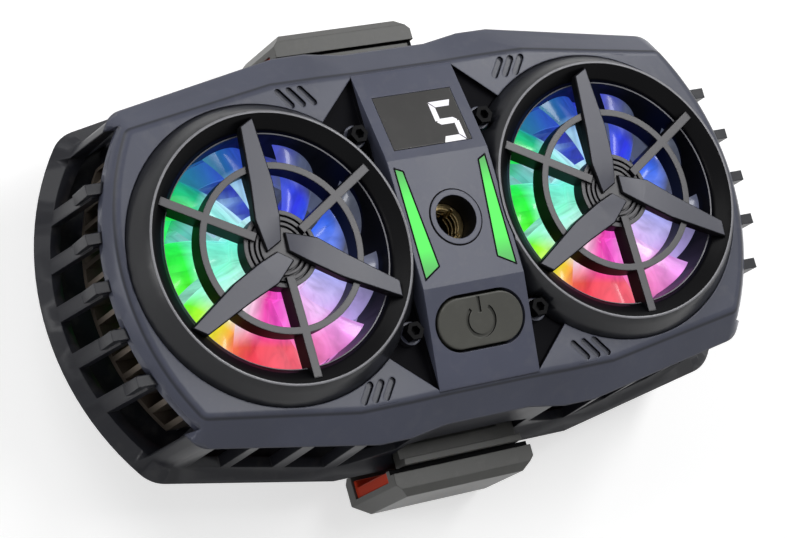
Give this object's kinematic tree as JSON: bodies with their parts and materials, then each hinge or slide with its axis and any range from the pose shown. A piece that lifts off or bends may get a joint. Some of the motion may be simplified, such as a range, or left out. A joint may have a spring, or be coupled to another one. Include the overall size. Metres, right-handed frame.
{
  "type": "phone cooling fan",
  "caption": "Clip-on phone cooler with twin lit fans behind star grilles, a raised center panel with display and power button, and spring-loaded clamp jaws.",
  "frame": {"origin": "under the middle of the part, level with the tips of the clamp jaws", "axes": "+X along the length, +Y towards the display side, +Z towards the fans"},
  "size_m": [0.126, 0.0786, 0.036],
  "materials": {
    "slate_plastic": "fine matt moulded finish",
    "panel_plastic": "fine matt moulded finish",
    "rear_plastic": "near-black satin moulding",
    "jaw_plastic": "warm dark grey satin moulding",
    "dark_plastic": "black moulding",
    "collar_plastic": "satin dark grey moulding",
    "grille_plastic": "satin grey moulding",
    "star_plastic": "satin slate moulding",
    "button_plastic": "satin dark grey cap",
    "smoke_lens": "smoked clear window",
    "green_light": "translucent lit green",
    "clear_blade": "translucent milky blade",
    "light_diffuser": "translucent lit ring",
    "brass": "machined",
    "steel": "machined",
    "screw_steel": "black oxide",
    "aluminium": "fine brushed",
    "fin_metal": "brownish anodised fins",
    "ceramic": "white ceramic faces",
    "winding": "enamelled copper wire",
    "silicone": "soft grey silicone",
    "red_rubber": "orange-red rubber",
    "board": "green solder mask"
  },
  "bodies": {
    "housing": {"brass_insert": "brass", "button_switch": "dark_plastic", "center_panel": "panel_plastic", "center_well": "collar_plastic", "cold_plate": "aluminium", "collar_left": "collar_plastic", "collar_right": "collar_plastic", "contact_pad": "silicone", "display_module": "dark_plastic", "display_window": "smoke_lens", "fan_bearing_left": "brass", "fan_bearing_right": "brass", "fan_frame_left": "dark_plastic", "fan_frame_right": "dark_plastic", "foot_pads": "silicone", "front_cover": "slate_plastic", "front_screws": "screw_steel", "grille_left": "grille_plastic", "grille_right": "grille_plastic", "guide_plate": "dark_plastic", "heat_sink_left": "fin_metal", "heat_sink_right": "fin_metal", "light_ring_left": "light_diffuser", "light_ring_right": "light_diffuser", "light_strip_left": "green_light", "light_strip_right": "green_light", "main_board": "board", "pinion_pin": "steel", "rear_housing": "rear_plastic", "rear_screws": "screw_steel", "return_spring": "steel", "star_left": "star_plastic", "star_right": "star_plastic", "stator_left": "winding", "stator_right": "winding", "thermo_module_left": "ceramic", "thermo_module_right": "ceramic", "usb_c_port": "steel"},
    "upper_jaw": {"jaw_upper": "jaw_plastic", "pad_upper": "red_rubber"},
    "lower_jaw": {"jaw_lower": "jaw_plastic", "pad_lower": "red_rubber"},
    "clamp_pinion": {"pinion": "brass"},
    "fan_left": {"impeller_left": "clear_blade", "fan_shaft_left": "steel"},
    "fan_right": {"impeller_right": "clear_blade", "fan_shaft_right": "steel"},
    "button": {"power_button": "button_plastic"}
  },
  "joints": [
    {"name": "upper_jaw_slide", "type": "slide", "parent": "housing", "child": "upper_jaw", "axis": [0, 1, 0], "range_m": [0, 0.01], "stiffness_N_per_m": 250, "springref_m": -0.006},
    {"name": "lower_jaw_slide", "type": "slide", "parent": "housing", "child": "lower_jaw", "axis": [0, -1, 0], "range_m": [0, 0.01]},
    {"name": "pinion_turn", "type": "hinge", "parent": "housing", "child": "clamp_pinion", "pos_m": [0, 0, 0.0156], "axis": [0, 0, 1], "range_deg": [0, 143.25], "deforming": ["return_spring"]},
    {"name": "fan_left_spin", "type": "hinge", "parent": "housing", "child": "fan_left", "pos_m": [-0.031, 0, 0.0273], "axis": [0, 0, 1], "continuous": true},
    {"name": "fan_right_spin", "type": "hinge", "parent": "housing", "child": "fan_right", "pos_m": [0.031, 0, 0.0273], "axis": [0, 0, 1], "continuous": true},
    {"name": "power_button_press", "type": "slide", "parent": "housing", "child": "button", "axis": [0, 0.2338, -0.9723], "range_m": [0, 0.0005], "stiffness_N_per_m": 600, "springref_m": -0.0005}
  ],
  "couplings": [
    {"joint": "lower_jaw_slide", "follows": "upper_jaw_slide", "ratio": 1},
    {"joint": "pinion_turn", "follows": "upper_jaw_slide", "rad_per_m": 250}
  ]
}
